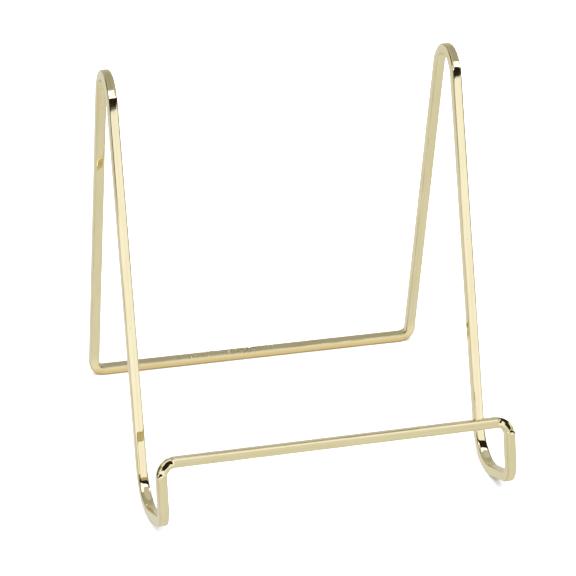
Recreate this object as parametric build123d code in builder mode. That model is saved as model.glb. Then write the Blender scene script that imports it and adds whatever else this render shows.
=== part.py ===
"""Square-wire display easel, in millimetres and degrees.

One length of bright square wire is bent into a closed loop and butt-welded in the middle of its
back bar. From the weld the wire runs out to a back corner, up a back leg, over a top bend, down a
front leg, round a foot bend, out along a foot run, round a lip bend, up a lip post and round a
ledge corner into the ledge bar in front. The other half of the loop is its mirror image. A plate
or picture stands on the two foot runs, leans back on the two front legs and is held in by the
ledge bar.

Each straight stretch and each bend of the wire is its own node, as on a bending sheet, and the
nodes meet face to face. The easel is rigid and has no moving parts.

Axes: +X to the right as seen from the front, -Y towards the front, +Z up. The origin is on the
surface that the easel stands on, midway between its two sides and between its front and back.
"""
import os
from math import cos, radians, sin, tan

from build123d import *

os.makedirs("parts", exist_ok=True)

# The wire
wire = 3.175            # side of the square section, 1/8 in
edge_radius = 0.5       # rounding of the section's four corners
overall_width = 114.3   # outside to outside, 4.5 in

# The side profile, on the wire's centre line
apex_height = 139.8     # where a front and a back leg would meet if the top bend were sharp
front_lean = 25.5       # front legs, back from upright
back_lean = 2.4         # back legs, forward from upright
lip_lean = 21.7         # lip posts, back from upright
foot_reach = 26.4       # sharp foot corner to sharp lip corner
lip_height = 18.2       # sharp lip corner to the centre of the ledge bar

# Bend radii, to the wire's centre line
back_corner_radius = 3.3
top_bend_radius = 7.8
foot_bend_radius = 12.0
lip_bend_radius = 3.9
ledge_corner_radius = 4.1

# The butt weld, ground flush with the wire apart from one sink mark
weld_length = 1.0
sink_radius = 0.35      # of the round-bottomed mark across the top of the weld
sink_depth = 0.22
sink_run = 1.9          # from the rear face forwards


def profile_direction(backward, upward):
    """A unit direction in the easel's side profile."""
    return Vector(0, backward, upward).normalized()


def tilted_half_height(lean):
    """Half the height, and half the depth, of the rounded square section at this lean."""
    flat = wire / 2 - edge_radius
    return flat * (cos(radians(lean)) + sin(radians(lean))) + edge_radius


def bend_frame(before, corner, after, radius):
    """Where a bend starts, its centre, its axis and its turn, from the sharp corner it rounds."""
    arriving = (corner - before).normalized()
    leaving = (after - corner).normalized()
    turn = arriving.get_angle(leaving)
    axis_direction = arriving.cross(leaving).normalized()
    start = corner - arriving * radius * tan(radians(turn / 2))
    centre = start + axis_direction.cross(arriving) * radius
    return start, centre, axis_direction, turn


# Directions of the straight stretches. A foot run is square to its front leg.
up_back_leg = profile_direction(-sin(radians(back_lean)), cos(radians(back_lean)))
down_front_leg = profile_direction(-sin(radians(front_lean)), -cos(radians(front_lean)))
along_foot_run = profile_direction(-cos(radians(front_lean)), sin(radians(front_lean)))
up_lip_post = profile_direction(sin(radians(lip_lean)), cos(radians(lip_lean)))

# Sharp corners of the side profile, with the back bar at y = 0 to begin with.
# The back bar and the lowest line of the foot bends both touch z = 0.
back_bar_height = tilted_half_height(back_lean)
foot_corner_height = wire / 2 + foot_bend_radius * (1 + down_front_leg.Z - along_foot_run.Z)
back_corner = Vector(0, 0, back_bar_height)
apex = back_corner + up_back_leg * ((apex_height - back_bar_height) / up_back_leg.Z)
foot_corner = apex + down_front_leg * ((foot_corner_height - apex_height) / down_front_leg.Z)
lip_corner = foot_corner + along_foot_run * foot_reach
ledge_corner = lip_corner + up_lip_post * lip_height

# The outside of the lip bends is the frontmost line and the back bar is the rearmost
lip_centre = bend_frame(foot_corner, lip_corner, ledge_corner, lip_bend_radius)[1]
frontmost = lip_centre.Y - lip_bend_radius - wire / 2
rearmost = tilted_half_height(back_lean)
to_middle = Vector(0, -(frontmost + rearmost) / 2, 0)


def save(piece, name):
    """Label a finished stretch of the wire and write it as one STEP file."""
    piece.part.label = name
    export_step(piece.part, f"parts/{name}.step")


def straight(name, start, end, across):
    """A straight stretch of the wire."""
    with BuildPart() as stretch:
        with BuildSketch(Plane(origin=start, x_dir=across, z_dir=end - start)):
            RectangleRounded(wire, wire, edge_radius)
        extrude(amount=(end - start).length)
    save(stretch, name)


def bend(name, before, corner, after, radius):
    """A bend of the wire: its section swung about the bend's axis."""
    start, centre, axis_direction, turn = bend_frame(before, corner, after, radius)
    with BuildPart() as curve:
        with BuildSketch(Plane(origin=start, x_dir=axis_direction, z_dir=corner - before)):
            RectangleRounded(wire, wire, edge_radius)
        revolve(axis=Axis(centre, axis_direction), revolution_arc=turn)
    save(curve, name)


# Each half of the loop, from the weld: a straight stretch, the direction that two of its faces
# are square to, and the bend that it leads into
sideways = Vector(1, 0, 0)
stretches = [
    ("back_bar", up_back_leg, "back_corner", back_corner_radius),
    ("back_leg", sideways, "top_bend", top_bend_radius),
    ("front_leg", sideways, "foot_bend", foot_bend_radius),
    ("foot_run", sideways, "lip_bend", lip_bend_radius),
    ("lip_post", sideways, "ledge_corner", ledge_corner_radius),
]
half_spacing = (overall_width - wire) / 2
ledge_ends = []

for side, outward in (("left", -1), ("right", 1)):
    beside = Vector(outward * half_spacing, 0, 0) + to_middle
    route = [back_corner + to_middle]
    route += [corner + beside for corner in (back_corner, apex, foot_corner, lip_corner, ledge_corner)]
    route += [ledge_corner + to_middle]

    start = route[0] + Vector(outward * weld_length / 2, 0, 0)
    for index, (straight_name, across, bend_name, radius) in enumerate(stretches):
        before, corner, after = route[index:index + 3]
        bend_start = bend_frame(before, corner, after, radius)[0]
        bend_end = bend_frame(after, corner, before, radius)[0]
        straight(f"{side}_{straight_name}", start, bend_start, across)
        bend(f"{side}_{bend_name}", before, corner, after, radius)
        start = bend_end
    ledge_ends.append(start)

straight("ledge_bar", ledge_ends[0], ledge_ends[1], up_lip_post)

# The butt weld, with its sink mark on the top face at the rear edge
weld_centre = back_corner + to_middle
weld_top = weld_centre + up_back_leg * (wire / 2)
rearward = up_back_leg.cross(sideways)
with BuildPart() as butt_weld:
    with BuildSketch(Plane(origin=weld_centre, x_dir=up_back_leg, z_dir=sideways)):
        RectangleRounded(wire, wire, edge_radius)
    extrude(amount=weld_length / 2, both=True)
    sink_end = weld_top + rearward * (wire / 2) + up_back_leg * (sink_radius - sink_depth)
    with BuildSketch(Plane(origin=sink_end, x_dir=sideways, z_dir=rearward * -1)):
        Circle(sink_radius)
    extrude(amount=sink_run, mode=Mode.SUBTRACT)
save(butt_weld, "butt_weld")
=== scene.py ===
"""Looks of the square-wire display easel: bright pale brass plate on one bent and welded wire.

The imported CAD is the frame. Each straight stretch's centre line is read from its CAD node and each
bend is the arc between its neighbours, so no piece is placed by hand. The whole loop is meshed as
one fine grid, with what drawing, bending, welding and plating do to real square wire, and cut into
one piece per CAD node, so that faces and highlights run on across the cuts.
"""
import math
import random
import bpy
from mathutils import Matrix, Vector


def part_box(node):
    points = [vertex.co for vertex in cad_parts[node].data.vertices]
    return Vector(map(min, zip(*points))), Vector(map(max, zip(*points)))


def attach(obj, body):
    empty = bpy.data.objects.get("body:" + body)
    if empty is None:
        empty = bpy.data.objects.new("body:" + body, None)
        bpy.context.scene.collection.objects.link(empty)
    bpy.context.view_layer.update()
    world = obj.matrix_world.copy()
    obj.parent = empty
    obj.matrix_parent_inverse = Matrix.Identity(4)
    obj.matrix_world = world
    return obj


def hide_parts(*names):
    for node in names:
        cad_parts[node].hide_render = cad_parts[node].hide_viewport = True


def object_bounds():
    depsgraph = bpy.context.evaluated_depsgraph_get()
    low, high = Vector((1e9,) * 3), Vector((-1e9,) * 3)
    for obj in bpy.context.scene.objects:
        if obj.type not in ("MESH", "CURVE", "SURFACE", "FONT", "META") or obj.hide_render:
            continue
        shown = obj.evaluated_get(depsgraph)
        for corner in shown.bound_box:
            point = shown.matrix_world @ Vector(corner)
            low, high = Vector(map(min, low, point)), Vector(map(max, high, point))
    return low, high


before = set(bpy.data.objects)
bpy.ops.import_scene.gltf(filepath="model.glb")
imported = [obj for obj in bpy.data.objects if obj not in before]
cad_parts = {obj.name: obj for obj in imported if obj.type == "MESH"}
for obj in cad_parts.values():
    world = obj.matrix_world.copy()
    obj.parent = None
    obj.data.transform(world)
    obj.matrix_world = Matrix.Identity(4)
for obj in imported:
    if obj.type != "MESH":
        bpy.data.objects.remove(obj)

from types import SimpleNamespace

import bpy
import numpy as np
from mathutils import Matrix, Vector, noise

cad_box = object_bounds()
MM = 0.001

# ---------------------------------------------------------------- the wire, read from the frame

STRAIGHTS = ("back_bar", "back_leg", "front_leg", "foot_run", "lip_post")
BENDS = ("back_corner", "top_bend", "foot_bend", "lip_bend", "ledge_corner")

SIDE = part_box("left_front_leg")[1].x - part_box("left_front_leg")[0].x    # of the square wire
HALF = SIDE / 2
LONG_STEP = 1.5 * MM        # mesh step along a straight stretch
FINE_STEP = 0.10 * MM       # and beside the weld
LEFT_FINE = 28 * MM         # how far fine steps go along the back bar, left of the weld
RIGHT_FINE = 9 * MM         # and right of it
WELD_STEPS = 16
BEND_STEP = math.radians(2.5)

EASE_RATE = 5               # a bend's change of section comes and goes over a fifth of it at each end
SQUEEZED = {"back_corner": 0.35, "lip_bend": 0.35}      # these keep more of their section than the rest


def centre_line(node):
    """The two ends of a straight stretch's centre line."""
    points = np.array([v.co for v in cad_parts[node].data.vertices])
    mean = points.mean(axis=0)
    axes = np.linalg.svd(points - mean, full_matrices=False)[2]
    reach = (points - mean) @ axes.T
    low, high = reach.min(axis=0), reach.max(axis=0)
    centre = mean + ((low + high) / 2) @ axes
    half_length = axes[0] * (high[0] - low[0]) / 2
    return centre - half_length, centre + half_length


def from_here(here, ends):
    """The two ends, the nearer to `here` first."""
    first, second = ends
    if np.linalg.norm(second - here) < np.linalg.norm(first - here):
        first, second = second, first
    return first, second


def unit(vector):
    """A vector's direction."""
    return vector / np.linalg.norm(vector)


def turned(vector, axis, angle):
    """A vector turned about a unit axis."""
    across = np.cross(axis, vector)
    along_axis = axis * (axis @ vector)
    return vector * math.cos(angle) + across * math.sin(angle) + along_axis * (1 - math.cos(angle))


class Loop:
    """Stations along the closed wire: where each ring of the mesh goes and what happens to it.

    Each station has its centre, the direction along the wire, the direction that its first face
    looks in, and its distance along the wire. In a bend it also has the direction outwards and two
    strengths, squeeze and pinch, of what bending does to the section.
    """

    def __init__(self, here, along, face):
        self.centre, self.along, self.face, self.distance = [here], [along], [face], [0.0]
        self.squeeze, self.outward, self.pinch = [0.0], [np.zeros(3)], [0.0]
        self.spans = []     # (node, first station, last station)

    def add(self, centre, along, face, step, squeeze=0.0, outward=(0, 0, 0), pinch=0.0):
        """One more station."""
        self.centre.append(centre)
        self.along.append(along)
        self.face.append(face)
        self.distance.append(self.distance[-1] + step)
        self.squeeze.append(squeeze)
        self.outward.append(np.array(outward, dtype=float))
        self.pinch.append(pinch)

    def straight(self, node, end, offsets):
        """Stations on a straight stretch, at these shares of its length."""
        first = len(self.centre) - 1
        start, face, along = self.centre[-1], self.face[-1], unit(end - self.centre[-1])
        length = np.linalg.norm(end - start)
        for before, here in zip(offsets, offsets[1:]):
            self.add(start + along * length * here, along, face, length * (here - before))
        self.spans.append((node, first, len(self.centre) - 1))

    def bend(self, node, end, leaving):
        """Stations on the arc from the last station to `end`, where the wire runs along `leaving`."""
        first = len(self.centre) - 1
        start, arriving, face = self.centre[-1], self.along[-1], self.face[-1]
        axis = unit(np.cross(arriving, leaving))
        turn = math.acos(np.clip(arriving @ leaving, -1, 1))
        radius = np.linalg.norm(end - start) / 2 / math.sin(turn / 2)
        centre = start + np.cross(axis, arriving) * radius
        steps = math.ceil(turn / BEND_STEP)
        for k in range(1, steps + 1):
            angle = turn * k / steps
            outward = turned(start - centre, axis, angle) / radius
            grip = min(1.0, EASE_RATE * min(k, steps - k) / steps)
            grip = grip * grip * (3 - 2 * grip)
            squeeze = HALF / radius * grip * SQUEEZED.get(node.split("_", 1)[1], 1.0)
            pinch = grip if node.endswith("ledge_corner") else 0.0
            self.add(centre + outward * radius, turned(arriving, axis, angle), turned(face, axis, angle),
                     radius * turn / steps, squeeze, outward, pinch)
        self.spans.append((node, first, len(self.centre) - 1))


def at_rings(values):
    """The stations' values without the last station's, which is the first again."""
    return np.array(values[:-1])


def even(length):
    """Shares of a length, in long steps."""
    count = max(2, math.ceil(length / LONG_STEP))
    return [k / count for k in range(count + 1)]


def fine_then_long(length, fine):
    """Shares of a length, in fine steps over its first part and long steps after it."""
    places = list(np.arange(0, fine, FINE_STEP))
    places += list(np.linspace(fine, length, max(2, math.ceil((length - fine) / LONG_STEP))))
    return [place / length for place in places]


def places_along(node, length):
    """Where the stations of a straight stretch go, as shares of its length."""
    if node == "right_back_bar":
        return fine_then_long(length, RIGHT_FINE)
    if node == "left_back_bar":
        return [1 - place for place in fine_then_long(length, LEFT_FINE)][::-1]
    return even(length)


def read_loop():
    """The whole wire, from the left end of the weld round to the same place."""
    weld = np.array(sum(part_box("butt_weld"), Vector())) / 2
    weld_start = from_here(weld, centre_line("left_back_bar"))[0]
    weld_end = from_here(weld, centre_line("right_back_bar"))[0]
    leg = from_here(weld, centre_line("right_back_leg"))
    loop = Loop(weld_start, unit(weld_end - weld_start), unit(leg[1] - leg[0]))
    loop.straight("butt_weld", weld_end, [k / WELD_STEPS for k in range(WELD_STEPS + 1)])

    outbound = [f"right_{name}" for pair in zip(STRAIGHTS, BENDS) for name in pair]
    inbound = [f"left_{name}" for pair in zip(STRAIGHTS, BENDS) for name in pair][::-1]
    order = outbound + ["ledge_bar"] + inbound
    for node, following in zip(order, order[1:] + [None]):
        here = loop.centre[-1]
        if node.endswith(BENDS):
            start, end = from_here(here, centre_line(following))
            loop.bend(node, start, unit(end - start))
        else:
            end = from_here(here, centre_line(node))[1]
            loop.straight(node, end, places_along(node, np.linalg.norm(end - here)))
    return loop


# ---------------------------------------------------------------- the wire's section and its bends

SQUARENESS = 6.5            # of the section: power of the rounded square, 2 is a circle
DRAWN_IN = 9.5              # how much a bend rounds off its two outer edges
LEAST_SQUARE = 4.6          # and the squareness that they keep
FACE_STEPS = 26             # mesh steps across a face, from edge to edge
CROWDING = 0.35             # how much closer they are towards the edges
EDGE_FROM = 0.80            # where across a face its rounded edge starts, from 0 in the middle
INSIDE_SWELL = 0.42         # how much a bend widens its inside and narrows its outside
SADDLE = 0.16               # how far a bend's outside sinks, and its inside swells, between its edges
ON_FACE = 0.98              # share of the half side from which a point lies on the inside or outside

# Where a ledge corner is pinched by the bender's jaws: from where across (-1 inside, 1 outside),
# how suddenly, and how steeply its sides close in
PINCHES = ((-0.22, 30, 0.35), (0.50, 12, 0.30))


def outline(powers):
    """The section at each station, from the squareness of its four long edges: two coordinates of
    each point, distance round the wire, how far the point is round an edge, and the face's number."""
    p, q, around, edge, number = [], [], [], [], []
    for side in range(4):
        angle = math.radians(90) * side
        for k in range(FACE_STEPS):
            share = 2 * k / FACE_STEPS - 1
            spread = (1 + CROWDING) * share - CROWDING * share ** 3
            power = powers[:, side - 1] if share < 0 else powers[:, side]
            reach = spread * 0.5 ** (1 / power)
            out = (1 - np.abs(reach) ** power) ** (1 / power)
            p.append(HALF * (out * math.cos(angle) - reach * math.sin(angle)))
            q.append(HALF * (out * math.sin(angle) + reach * math.cos(angle)))
            around.append(SIDE * (side + 0.5 + spread / 2))
            edge.append(max(0.0, abs(spread) - EDGE_FROM) / (1 - EDGE_FROM))
            number.append(side)
    return np.array(p).T, np.array(q).T, np.array(around), np.array(edge), np.array(number)


def edge_powers(squeeze, out_p, out_q):
    """How square the four long edges are at each station: a bend draws in the two on its outside."""
    corners = [out_p + out_q, out_q - out_p, -out_p - out_q, out_p - out_q]
    outer = np.clip(np.hstack(corners), 0, 1)
    return np.maximum(SQUARENESS - DRAWN_IN * squeeze * outer, LEAST_SQUARE)


def pinched(radial, pinch):
    """How much narrower the pinch of a ledge corner leaves the section, as a share of its half side."""
    narrower = 0.0
    for start, suddenness, slope in PINCHES:
        narrower += slope * np.log1p(np.exp((radial / HALF - start) * suddenness)) / suddenness
    return pinch * narrower


def bent_section(loop, face, other):
    """The section at every station, as drawn (flat_p, flat_q) and as bent (p, q): a bend draws in
    its outer edges, swells sideways inside and saddles."""
    squeeze, pinch = at_rings(loop.squeeze)[:, None], at_rings(loop.pinch)[:, None]
    outward = at_rings(loop.outward)
    out_p = (outward * face).sum(1)[:, None]
    out_q = (outward * other).sum(1)[:, None]
    flat_p, flat_q, around, edge, number = outline(edge_powers(squeeze, out_p, out_q))
    radial = flat_p * out_p + flat_q * out_q
    lateral = -flat_p * out_q + flat_q * out_p
    swell = INSIDE_SWELL * squeeze * radial / HALF * (1 - pinch)
    swollen = lateral * (1 - swell - pinched(radial, pinch))
    on_face = np.abs(radial) > HALF * ON_FACE
    saddled = radial - SADDLE * squeeze * (HALF - lateral ** 2 / HALF) * on_face
    p = np.where(squeeze > 0, saddled * out_p - swollen * out_q, flat_p)
    q = np.where(squeeze > 0, saddled * out_q + swollen * out_p, flat_q)
    return SimpleNamespace(p=p, q=q, flat_p=flat_p, flat_q=flat_q, around=around, edge=edge, number=number)


# ---------------------------------------------------------------- the wire's faces

FACE_CROWN = 0.010 * MM         # a drawn face is a little full in the middle
CROWN_WIDTH = 0.8               # over this share of it
DRAW_WAVE = 0.006 * MM          # and never quite flat along its length
DRAW_WAVE_LENGTH = 14 * MM
WAVES_APART = 10.0              # in noise space, from one face to the next


def drawn_faces(loop, section, on_p):
    """How far each point is lifted by the faces' slight crown and by the slow wave that drawing
    and straightening leave."""
    across = np.where(on_p, section.flat_q, section.flat_p)
    crown = np.clip(1 - (across / (CROWN_WIDTH * HALF)) ** 2, 0, 1)
    length = loop.distance[-1]
    lift = np.zeros(crown.shape)
    for row, place in enumerate(loop.distance[:-1]):
        angle = 2 * math.pi * place / length
        ring = Vector((math.cos(angle), math.sin(angle), 0)) * (length / (2 * math.pi) / DRAW_WAVE_LENGTH)
        for side in range(4):
            wave = noise.noise(ring + Vector((0, 0, WAVES_APART * side)))
            lift[row] += np.where(section.number == side, DRAW_WAVE * wave, 0)
    return (lift + FACE_CROWN) * crown


# ---------------------------------------------------------------- the marks beside the weld

MARKS_LEFT = 84                 # pits and blisters left of the weld
MARKS_RIGHT = 10                # and right of it
MARKS_SPREAD = 14 * MM          # how far the left ones spread from it
MARKS_SEED = 7
MARK_SHAPE = (1.6, 0.55)        # how steep a mark is, and from what share of the half side up it shows
WELD_SHAPE = (1.4, 0.45)        # the same for the bead and the notch

# The proud bead at the weld and the notch behind it: along, across from the rear edge at -1 to the
# front edge at 1, size, height
BEAD = (0.42 * MM, 0.40, 0.40 * MM, 0.42 * MM)
NOTCH = (-0.80 * MM, -0.78, 0.60 * MM, -0.34 * MM)

GROOVE_DEPTH = 0.10 * MM        # of the dip where the weld was ground back
GROOVE_REACH = 0.9 * MM / 2.2   # and how far it spreads from the weld's middle
GROUND_LEFT = 9 * MM            # how far the grinding runs out, left of the weld
GROUND_RIGHT = 3 * MM           # and right of it
GROUND_SCAR = 0.35              # how dull it leaves the face
RAGGED_WITHIN = 4 * MM          # how near the weld the grinding is uneven
RAGGED_ALONG, RAGGED_ROUND, RAGGED_SEED = 900, 1500, 3.0


def scars(rng):
    """Pits and blisters beside the weld: place along the wire from the weld's left end (negative
    to the left), place across the top face, size and height. A pit has a negative height."""
    marks = []
    for _ in range(MARKS_LEFT):
        size = rng.uniform(0.20, 0.42) * MM
        marks.append((-abs(rng.gauss(0, MARKS_SPREAD)), rng.uniform(-0.95, 0.80) * HALF, size,
                      -size * rng.choice((0.70, 0.50, -0.80, -1.05)) * rng.uniform(0.6, 1.0)))
    for _ in range(MARKS_RIGHT):
        size = rng.uniform(0.18, 0.36) * MM
        marks.append((rng.uniform(1.5, 9.0) * MM, rng.uniform(-0.8, 0.7) * HALF, size,
                      -size * rng.choice((0.30, -0.45))))
    return marks


def weld_marks(loop, section, from_weld, frontward):
    """The pits, blisters, bead and notch of the top face: how far they lift each point, how
    scarred it is, which the plate also darkens as painted shade, and how near to the top of a proud
    one, which the plate gives a painted highlight."""
    shape = section.p.shape
    lift, scar, proud = np.zeros(shape), np.zeros(shape), np.zeros(shape)
    weld = [(place, across * HALF * frontward, size, height) for place, across, size, height in (BEAD, NOTCH)]
    shaped = [(mark, MARK_SHAPE) for mark in scars(random.Random(MARKS_SEED))]
    shaped += [(mark, WELD_SHAPE) for mark in weld]
    for (place, sideways, size, height), (steepness, top_from) in shaped:
        reach = np.hypot(from_weld - place, section.flat_q - sideways) / size
        bump = np.exp(-reach ** 2 * steepness) * (section.flat_p > HALF * top_from)
        lift += height * bump
        scar = np.maximum(scar, bump * (height < 0))
        proud = np.maximum(proud, bump * (height > 0))
    return lift, scar, proud


def ground_back(loop, section, from_weld):
    """The shallow groove across the weld, how far the grinding runs out from it, and how ragged it
    is at each point."""
    weld_width = loop.distance[loop.spans[0][2]]
    groove = np.exp(-(np.abs(from_weld - weld_width / 2) / GROOVE_REACH) ** 2)
    ground = np.exp(-(np.minimum(from_weld, 0) / GROUND_LEFT) ** 2) * (from_weld < GROUND_RIGHT)
    ragged = np.full(section.p.shape, 0.5)
    for row, along in enumerate(from_weld[:, 0]):
        if abs(along) < RAGGED_WITHIN:
            for k, around in enumerate(section.around):
                place = Vector((along * RAGGED_ALONG, around * RAGGED_ROUND, RAGGED_SEED))
                ragged[row, k] = 0.5 + 0.5 * noise.noise(place)
    return groove, ground, ragged


# ---------------------------------------------------------------- the wire's surface

def surface(loop):
    """The finished grid of points and its normals, and what the materials read from it."""
    centre, along, face = at_rings(loop.centre), at_rings(loop.along), at_rings(loop.face)
    distance, length = at_rings(loop.distance), loop.distance[-1]
    other = np.cross(along, face)
    section = bent_section(loop, face, other)
    on_p = np.broadcast_to(section.number % 2 == 0, section.p.shape)
    on_top = (section.number == 0)[None, :]
    from_weld = np.where(distance > length / 2, distance - length, distance)[:, None]

    marks, scar, proud = weld_marks(loop, section, from_weld, -np.sign(other[0][1]))
    groove, ground, ragged = ground_back(loop, section, from_weld)
    lift = drawn_faces(loop, section, on_p) + marks - GROOVE_DEPTH * groove * on_top * ragged
    # Scarred places take the plate's dark colour: duller ground metal, and painted shade in the pits, notch
    # and groove.
    scar = scar + groove * on_top * (0.5 + 0.5 * ragged) + GROUND_SCAR * ground * on_top * ragged
    scar = np.clip(scar, 0, 1) * on_top * (1 - proud)

    p = section.p + lift * np.sign(section.flat_p) * on_p
    q = section.q + lift * np.sign(section.flat_q) * ~on_p
    points = centre[:, None, :] + p[:, :, None] * face[:, None, :] + q[:, :, None] * other[:, None, :]
    lengthways = np.roll(points, -1, axis=0) - np.roll(points, 1, axis=0)
    crossways = np.roll(points, -1, axis=1) - np.roll(points, 1, axis=1)
    normals = np.cross(crossways, lengthways)
    normals /= np.linalg.norm(normals, axis=2, keepdims=True)
    return SimpleNamespace(points=points, normals=normals, along=along, distance=distance,
                           around=section.around, edge=section.edge, scar=scar, proud=proud * on_top)


def tube_faces(rings, per_ring):
    """The faces of a closed stretch: quads between its rings, and a fan of triangles over each end
    around a hub. The two hubs are the last two points."""
    quads, first_cap, last_cap = [], [], []
    last = (rings - 1) * per_ring
    first_hub, last_hub = rings * per_ring, rings * per_ring + 1
    for k in range(per_ring):
        right = (k + 1) % per_ring
        first_cap.append((first_hub, right, k))
        last_cap.append((last_hub, last + k, last + right))
    for row in range(rings - 1):
        here, above = row * per_ring, (row + 1) * per_ring
        for k in range(per_ring):
            right = (k + 1) % per_ring
            quads.append((here + k, here + right, above + right, above + k))
    return quads, first_cap, last_cap


def write_attributes(mesh, grid, rows):
    """Give a piece's mesh its place along and round the wire, and its wear with the masks for painted shade
    and painted highlights, for the materials.
    """
    per_ring = len(grid.around)
    place = grid.distance[rows]
    if rows[-1] == 0:
        place[-1] = place[-2]       # the loop's last ring is its first again, whose place is 0
    coordinates = np.zeros((len(rows) * per_ring + 2, 3))
    coordinates[:-2, 0] = np.repeat(place, per_ring)
    coordinates[:-2, 1] = np.tile(grid.around, len(rows))
    attribute = mesh.attributes.new("wire_coord", "FLOAT_VECTOR", "POINT")
    attribute.data.foreach_set("vector", coordinates.ravel())
    for label, values in (("edge", np.tile(grid.edge, len(rows))), ("scar", grid.scar[rows].ravel()),
                          ("proud", grid.proud[rows].ravel())):
        padded = np.concatenate([values, [0.0, 0.0]])
        mesh.attributes.new(label, "FLOAT", "POINT").data.foreach_set("value", padded)


def wire_piece(node, first, last, grid, material):
    """One stretch of the wire as a closed mesh: its rings from first to last, and its two ends."""
    rows = [k % len(grid.points) for k in range(first, last + 1)]
    rings = grid.points[rows]
    hubs = [rings[0].mean(axis=0), rings[-1].mean(axis=0)]
    quads, first_cap, last_cap = tube_faces(len(rows), len(grid.around))
    faces = quads + first_cap + last_cap

    ring_normals = grid.normals[rows].reshape(-1, 3)
    loop_normals = [tuple(ring_normals[corner]) for quad in quads for corner in quad]
    loop_normals += [tuple(-grid.along[rows[0]])] * (3 * len(first_cap))
    loop_normals += [tuple(grid.along[rows[-1]])] * (3 * len(last_cap))

    mesh = bpy.data.meshes.new(f"{node}_mesh")
    mesh.from_pydata(np.vstack([rings.reshape(-1, 3), hubs]).tolist(), [], faces)
    mesh.polygons.foreach_set("use_smooth", [True] * len(faces))
    write_attributes(mesh, grid, rows)
    mesh.normals_split_custom_set(loop_normals)
    mesh.materials.append(material)
    piece = bpy.data.objects.new(f"{node}_plated", mesh)
    bpy.context.scene.collection.objects.link(piece)
    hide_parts(node)
    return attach(piece, "root")


# ---------------------------------------------------------------- materials

class Nodes:
    """Short names for building a node tree."""

    def __init__(self, tree):
        self.tree = tree
        tree.nodes.clear()

    def new(self, kind, **settings):
        node = self.tree.nodes.new(kind)
        for name, value in settings.items():
            setattr(node, name, value)
        return node

    def join(self, output, target):
        self.tree.links.new(output, target)

    def attribute(self, name, output="Fac"):
        return self.new("ShaderNodeAttribute", attribute_name=name).outputs[output]

    def math(self, operation, first, second):
        node = self.new("ShaderNodeMath", operation=operation)
        for socket, value in zip(node.inputs, (first, second)):
            if isinstance(value, (int, float)):
                socket.default_value = value
            else:
                self.join(value, socket)
        return node.outputs[0]

    def product(self, first, *others):
        for factor in others:
            first = self.math("MULTIPLY", first, factor)
        return first

    def total(self, first, *others):
        for term in others:
            first = self.math("ADD", first, term)
        return first

    def scaled(self, vector, scale):
        node = self.new("ShaderNodeMapping")
        node.inputs["Scale"].default_value = scale
        self.join(vector, node.inputs["Vector"])
        return node.outputs["Vector"]

    def noise(self, vector, detail=2.0, roughness=0.5):
        node = self.new("ShaderNodeTexNoise")
        node.inputs["Scale"].default_value = 1.0
        node.inputs["Detail"].default_value = detail
        node.inputs["Roughness"].default_value = roughness
        self.join(vector, node.inputs["Vector"])
        return node.outputs["Fac"]

    def ramp(self, value, low, high, to_low=0.0, to_high=1.0):
        """Rises smoothly from to_low to to_high as the value goes from low to high."""
        node = self.new("ShaderNodeMapRange", interpolation_type="SMOOTHSTEP")
        for name, number in (("From Min", low), ("From Max", high), ("To Min", to_low), ("To Max", to_high)):
            node.inputs[name].default_value = number
        self.join(value, node.inputs["Value"])
        return node.outputs["Result"]

    def fall(self, value, low, high):
        """Falls smoothly from 1 to 0 as the value goes from low to high."""
        return self.ramp(value, low, high, 1.0, 0.0)

    def mix(self, share, first, second):
        node = self.new("ShaderNodeMix", data_type="RGBA")
        self.join(share, node.inputs["Factor"])
        for socket, value in ((node.inputs[6], first), (node.inputs[7], second)):
            if isinstance(value, tuple):
                socket.default_value = (*value, 1.0)
            else:
                self.join(value, socket)
        return node.outputs[2]


def new_material(name, shader_kind, shader_output):
    """A material, its node tree and its one shader, already joined to the output."""
    material = bpy.data.materials.new(name)
    material.use_nodes = True
    n = Nodes(material.node_tree)
    shader = n.new(shader_kind)
    n.join(shader.outputs[shader_output], n.new("ShaderNodeOutputMaterial").inputs["Surface"])
    return material, n, shader


# Scales of the plate's textures along and round the wire, per metre
DRAWN_LINES = (55, 9000, 1)
TONE_DRIFT = (70, 260, 1)
TONE_BANDS = (9, 1300, 1)
ORANGE_PEEL = (900, 900, 1)
PIT_CELLS = (620, 620, 1)
GROUND_GRAIN = (5200, 5200, 1)

# Painted highlight: a pale colour on the tops of blisters and the weld's bead, as if they caught light from
# all round.
FROSTED_HIGHLIGHT = (0.97, 0.93, 0.76)    # the tops of blisters, and of the weld's bead
PAPER_GRAIN = (400, 400, 400)


def pitting(n, place):
    """A small round pit in about one cell in ten."""
    cells = n.new("ShaderNodeTexVoronoi", feature="F1")
    cells.inputs["Scale"].default_value = 1.0
    n.join(n.scaled(place, PIT_CELLS), cells.inputs["Vector"])
    chosen = n.new("ShaderNodeSeparateColor")
    n.join(cells.outputs["Color"], chosen.inputs["Color"])
    return n.product(n.fall(cells.outputs["Distance"], 0.07, 0.13),
                     n.ramp(chosen.outputs["Red"], 0.90, 0.93))


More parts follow.
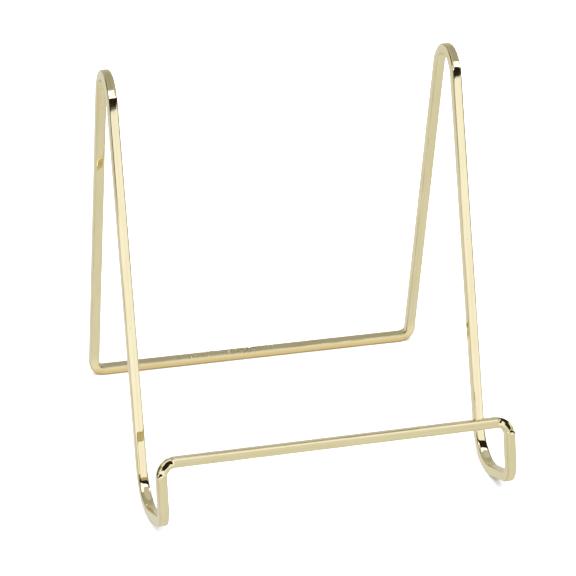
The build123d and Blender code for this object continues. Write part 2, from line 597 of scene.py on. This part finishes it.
def plate_tone(n, skin, light, deep, streak, worn, dull):
    """The plate's colour: a slow drift, streaks along the wire, edges darker from wear and painted edge
    shade, scars and pits darker with painted shade, and a painted highlight on the tops of blisters and the
    bead.
    """
    tone = n.mix(n.ramp(skin.drift, 0.35, 0.68), light, deep)
    bands = n.noise(n.scaled(skin.place, TONE_BANDS), detail=2.0, roughness=0.6)
    tone = n.mix(n.product(n.ramp(bands, 0.48, 0.70), 0.55), tone, streak)
    # Painted edge shade, with wear: the rounded edges are darker.
    tone = n.mix(n.product(skin.rubbed, 0.75), tone, worn)
    # Painted shade: scars and pits take a dark colour, partly the duller ground metal, partly shade painted
    # into the pits, notch and groove.
    tone = n.mix(n.product(skin.scar, 0.55), tone, dull)
    tone = n.mix(n.product(skin.pits, 0.7), tone, dull)
    # Painted highlight on the tops of blisters and the bead.
    return n.mix(skin.proud, tone, FROSTED_HIGHLIGHT)


def plate_roughness(n, skin, roughness):
    """Nearly a mirror, a little streaked, and duller along its wearing edges and where it is scarred, pitted
    or proud.
    """
    return n.total(n.ramp(skin.lines, 0.25, 0.75, roughness * 0.75, roughness * 1.3),
                   n.product(skin.rubbed, 0.05), n.product(skin.scar, 0.16),
                   n.product(skin.pits, 0.25), n.product(skin.proud, 0.42))


def plate_relief(n, skin):
    """Drawn lines, the plate's faint orange peel, pits, and the grain of ground metal."""
    peel = n.noise(n.scaled(skin.place, ORANGE_PEEL), detail=2.0)
    grain = n.noise(n.scaled(skin.place, GROUND_GRAIN), detail=3.0)
    height = n.total(n.product(skin.lines, 0.35), n.product(peel, 0.6), n.product(skin.pits, -2.5),
                     n.product(grain, skin.scar, 3.0))
    bump = n.new("ShaderNodeBump")
    bump.inputs["Strength"].default_value = 0.35
    bump.inputs["Distance"].default_value = 0.008 * MM
    n.join(height, bump.inputs["Height"])
    return bump.outputs["Normal"]


def plated_brass(name, roughness, **colours):
    """Bright brass plate on drawn wire: fine lines along the wire, a slow drift of tone, edges darker from
    wear and painted edge shade, scattered pits, a duller, rougher skin where the weld was ground back,
    painted shade in the scars and pits, and painted highlights on the tops of proud marks."""
    material, n, shader = new_material(name, "ShaderNodeBsdfPrincipled", "BSDF")
    shader.inputs["Metallic"].default_value = 1.0
    place = n.attribute("wire_coord", "Vector")
    skin = SimpleNamespace(place=place, scar=n.attribute("scar"), pits=pitting(n, place))
    skin.proud = n.ramp(n.attribute("proud"), 0.25, 0.80)
    skin.lines = n.noise(n.scaled(place, DRAWN_LINES), detail=3.0, roughness=0.6)
    skin.drift = n.noise(n.scaled(place, TONE_DRIFT), detail=2.0)
    # Where the rounded edges are darker: wear, and painted edge shade.
    skin.rubbed = n.product(n.attribute("edge"), n.ramp(skin.drift, 0.30, 0.62))
    n.join(plate_tone(n, skin, **colours), shader.inputs["Base Color"])
    n.join(plate_roughness(n, skin, roughness), shader.inputs["Roughness"])
    n.join(plate_relief(n, skin), shader.inputs["Normal"])
    return material


def bright_brass():
    """The plate on the drawn wire."""
    # The two darkest colours carry painted shade: at the rounded edges, and in the scars and pits.
    return plated_brass("bright_brass", roughness=0.032, light=(0.91, 0.82, 0.52), deep=(0.88, 0.79, 0.48),
                        streak=(0.84, 0.70, 0.45), worn=(0.66, 0.56, 0.33), dull=(0.34, 0.31, 0.20))


def weld_brass():
    """The plate on the weld, a little rougher and deeper."""
    # The two darkest colours carry painted shade: at the rounded edges, and in the scars and pits.
    return plated_brass("weld_brass", roughness=0.06, light=(0.90, 0.81, 0.51), deep=(0.86, 0.77, 0.47),
                        streak=(0.82, 0.69, 0.44), worn=(0.60, 0.52, 0.33), dull=(0.30, 0.27, 0.18))


def glow(name, colour, strength):
    """A plain emitting material for what the wire reflects."""
    material, _, emission = new_material(name, "ShaderNodeEmission", "Emission")
    emission.inputs["Color"].default_value = (*colour, 1.0)
    emission.inputs["Strength"].default_value = strength
    return material


def paper(name, shade):
    """A matt pale sheet with a very faint grain."""
    material, n, sheet = new_material(name, "ShaderNodeBsdfDiffuse", "BSDF")
    grain = n.noise(n.scaled(n.new("ShaderNodeTexCoord").outputs["Object"], PAPER_GRAIN))
    paler = shade * 1.02
    n.join(n.mix(grain, (shade, shade, shade), (paler, paler, paler)), sheet.inputs["Color"])
    return material


# ---------------------------------------------------------------- the camera

# The photograph's view: a long lens a little to the left and above, slightly rolled
AZIMUTH, ELEVATION, ROLL = (math.radians(angle) for angle in (-18.16, 30.74, 3.55))
AIM = Vector((-3.19, 5.76, 52.37)) * MM
DISTANCE = 754.5 * MM
LENS, SENSOR = 150.03, 36.0
AWAY = Vector((math.sin(AZIMUTH) * math.cos(ELEVATION), -math.cos(AZIMUTH) * math.cos(ELEVATION),
               math.sin(ELEVATION)))
LEVEL = Vector((math.cos(AZIMUTH), math.sin(AZIMUTH), 0))
RIGHTWARD = LEVEL * math.cos(ROLL) + AWAY.cross(LEVEL) * math.sin(ROLL)
UPRIGHT = AWAY.cross(RIGHTWARD)
EYE = AIM + AWAY * DISTANCE


def camera():
    """The photograph's camera."""
    data = bpy.data.cameras.new("camera")
    data.lens = LENS
    data.sensor_width = SENSOR
    data.clip_start = 0.01
    eye = bpy.data.objects.new("camera", data)
    eye.matrix_world = Matrix.Translation(EYE) @ Matrix((RIGHTWARD, UPRIGHT, AWAY)).transposed().to_4x4()
    bpy.context.scene.collection.objects.link(eye)
    bpy.context.scene.camera = eye


# ---------------------------------------------------------------- what the wire mirrors far off

TABLE = (0.74, 0.74, 0.74)      # how pale the table looks in the wire


def studio_world():
    """A pale table below, darker behind on the right, and a grey room with a bright white wall in
    front, a dark corner on the left and another far to the right, with a window beyond it. Each of
    them fades in and out along the parts of the direction that the wire looks in."""
    world = bpy.data.worlds.new("studio")
    bpy.context.scene.world = world
    world.use_nodes = True
    n = Nodes(world.node_tree)
    direction = n.new("ShaderNodeSeparateXYZ")
    n.join(n.new("ShaderNodeTexCoord").outputs["Generated"], direction.inputs[0])
    sideways, backward, height = (direction.outputs[axis] for axis in "XYZ")

    front = n.fall(backward, -0.60, -0.35)
    wall = n.product(front, n.ramp(height, 0.12, 0.24), n.fall(height, 0.86, 0.95))
    horizon = n.product(n.ramp(height, -0.16, -0.06), n.fall(height, 0.04, 0.14))
    left_corner = n.product(n.fall(sideways, -0.36, -0.16), n.fall(height, 0.54, 0.70),
                            n.ramp(height, -0.14, -0.06), n.ramp(backward, -0.30, -0.10),
                            n.fall(backward, 0.54, 0.70))
    right_corner = n.product(n.ramp(sideways, 0.62, 0.68), n.fall(height, 0.66, 0.78),
                             n.ramp(height, 0.12, 0.22))
    window = n.product(n.ramp(sideways, 0.90, 0.95), n.ramp(height, 0.08, 0.16))
    shaded_table = n.product(n.ramp(sideways, -0.14, 0.04), n.ramp(backward, 0.05, 0.30))

    room = n.mix(n.ramp(height, 0.15, 0.62), (0.54, 0.54, 0.53), (0.40, 0.395, 0.36))
    room = n.mix(horizon, room, (0.42, 0.42, 0.40))
    room = n.mix(left_corner, room, (0.03, 0.028, 0.02))
    room = n.mix(front, room, (0.76, 0.755, 0.73))
    room = n.mix(wall, room, (1.06, 1.07, 1.16))
    room = n.mix(right_corner, room, (0.03, 0.026, 0.018))
    room = n.mix(window, room, (1.05, 1.02, 0.95))
    room = n.mix(n.fall(height, -0.05, 0.0), room, n.mix(shaded_table, TABLE, (0.60, 0.60, 0.60)))
    background = n.new("ShaderNodeBackground")
    n.join(room, background.inputs["Color"])
    n.join(background.outputs["Background"], n.new("ShaderNodeOutputWorld").inputs["Surface"])


# ---------------------------------------------------------------- the studio near the easel

FLOOR_REACH = 3.0
FLOOR_DROP = 0.02 * MM          # just under what the easel stands on
BOUNCE = 12.0 * MM              # width of the strip of table, before the back bar, that the bar tints
BOUNCE_RISE = 0.02 * MM         # of that strip over what the easel stands on

# The cards hang in one tilted plane: its height at the origin, and how it rises to the right and back
CARD_HEIGHT, CARD_RISE_RIGHT, CARD_RISE_BACK = 210.7, -0.246, -0.049


def panel(name, corners, material):
    """A flat sheet of the studio."""
    mesh = bpy.data.meshes.new(name)
    mesh.from_pydata([tuple(c) for c in corners], [], [tuple(range(len(corners)))])
    mesh.materials.append(material)
    thing = bpy.data.objects.new(name, mesh)
    bpy.context.scene.collection.objects.link(thing)
    return thing


def only_reflected(thing):
    """Seen in the wire and nowhere else."""
    thing.visible_camera = False
    thing.visible_diffuse = False
    thing.visible_shadow = False
    thing.visible_transmission = False


def rectangle(left, right, front, back, z):
    """A level rectangle's corners."""
    return [(left, front, z), (right, front, z), (right, back, z), (left, back, z)]


def floor(low):
    """The white floor, which the wire doesn't mirror: it mirrors the world's table instead."""
    corners = rectangle(-FLOOR_REACH, FLOOR_REACH, -FLOOR_REACH, FLOOR_REACH, low.z - FLOOR_DROP)
    panel("floor", corners, paper("floor_white", 0.90)).visible_glossy = False


def bounced_light(bar_front):
    """Golden bounce light painted close to the bar, fading to the table's own grey, with a painted contact
    shadow, a dark line, where they meet.
    """
    material, n, emission = new_material("bounce_gold", "ShaderNodeEmission", "Emission")
    place = n.new("ShaderNodeSeparateXYZ")
    n.join(n.new("ShaderNodeTexCoord").outputs["Object"], place.inputs[0])
    colour = TABLE
    # Painted bounce light from the bar, and a painted contact shadow at its foot.
    for start, end, nearer in ((BOUNCE, 5.0 * MM, (0.88, 0.86, 0.80)),
                               (4.5 * MM, 0.5 * MM, (0.76, 0.64, 0.45)),
                               (0.8 * MM, 0.2 * MM, (0.25, 0.20, 0.14))):
        colour = n.mix(n.ramp(place.outputs["Y"], bar_front - start, bar_front - end), colour, nearer)
    n.join(colour, emission.inputs["Color"])
    return material


def bounce():
    """The strip of table in front of the back bar, as the bar mirrors it."""
    low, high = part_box("left_back_corner")[0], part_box("right_back_corner")[1]
    corners = rectangle(low.x - BOUNCE, high.x + BOUNCE, low.y - BOUNCE, low.y, BOUNCE_RISE)
    only_reflected(panel("bar_bounce", corners, bounced_light(low.y)))


def overhead(*places):
    """Places in the cards' plane, from millimetres to the right and back."""
    return [Vector((x, y, CARD_HEIGHT + CARD_RISE_RIGHT * x + CARD_RISE_BACK * y)) * MM for x, y in places]


def cards():
    """Overhead in front: the dark gap that the camera looks through, and behind it a white card
    whose rear side is cut away in the middle. A cream card lies to its left, and two grey cards
    behind it, one of them filling the cut. The cards share their edges."""
    gap_front = overhead((227, -76), (6, -226), (-60, -271), (-314, -440))
    gap_right = overhead((200, 20))
    white_front = overhead((148, -21), (110, -50), (98, -43), (86, -43), (74, -79), (-9, -144), (-72, -193))
    white_left = overhead((-72, -55))
    white_cut = overhead((-27, -27), (-18, -96), (30, -100), (64, -78), (78, -60), (82, -1))
    white_right = overhead((100, 0), (119, -20), (150, 2))
    cream_front = overhead((-72, -88), (-150, -110), (-188, -185), (-320, -250))
    cream_back = overhead((-330, -60), (-200, -10), (-72, -35))
    left_back = overhead((72, 10), (60, 110), (-5, 110), (-20, 40))
    right_back = overhead((220, 40), (220, 110), (122, 110), (112, 60))

    dark = glow("gap_dark", (0.020, 0.016, 0.011), 1.0)
    white = glow("card_white", (1.0, 0.98, 0.95), 2.4)
    cream = glow("card_cream", (1.0, 0.97, 0.90), 1.0)
    grey = glow("card_grey", (1.0, 1.0, 1.0), 0.58)
    only_reflected(panel("dark_gap", gap_front + cream_front[::-1] + white_front[::-1] + gap_right, dark))
    only_reflected(panel("white_card", white_front + white_left + white_cut + white_right, white))
    only_reflected(panel("cream_card", cream_front + cream_back, cream))
    only_reflected(panel("left_grey_card", white_cut + left_back, grey))
    only_reflected(panel("right_grey_card", white_right + right_back, grey))


def camera_body():
    """The camera and whoever stands at it, as the wire mirrors them. The corners are in
    millimetres to the right of the lens and above it."""
    corners = [EYE + RIGHTWARD * across * MM + UPRIGHT * up * MM
               for across, up in ((110, -110), (110, 120), (-240, 120), (-240, -110))]
    only_reflected(panel("camera_body", corners, glow("camera_dark", (0.015, 0.013, 0.010), 1.0)))


def lamp():
    """Soft overhead light."""
    data = bpy.data.lights.new("overhead", "SUN")
    data.energy = 5.4
    data.angle = math.radians(70)
    sun = bpy.data.objects.new("overhead", data)
    sun.rotation_euler = (math.radians(14), math.radians(-10), 0)
    bpy.context.scene.collection.objects.link(sun)
    sun.visible_glossy = False


# ---------------------------------------------------------------- putting it together

camera()
studio_world()
floor(cad_box[0])
bounce()
cards()
camera_body()
lamp()
bpy.context.scene.view_settings.view_transform = "Standard"

bright, weld_metal = bright_brass(), weld_brass()
wire_loop = read_loop()
wire_grid = surface(wire_loop)
for node, first, last in wire_loop.spans:
    wire_piece(node, first, last, wire_grid, weld_metal if node == "butt_weld" else bright)
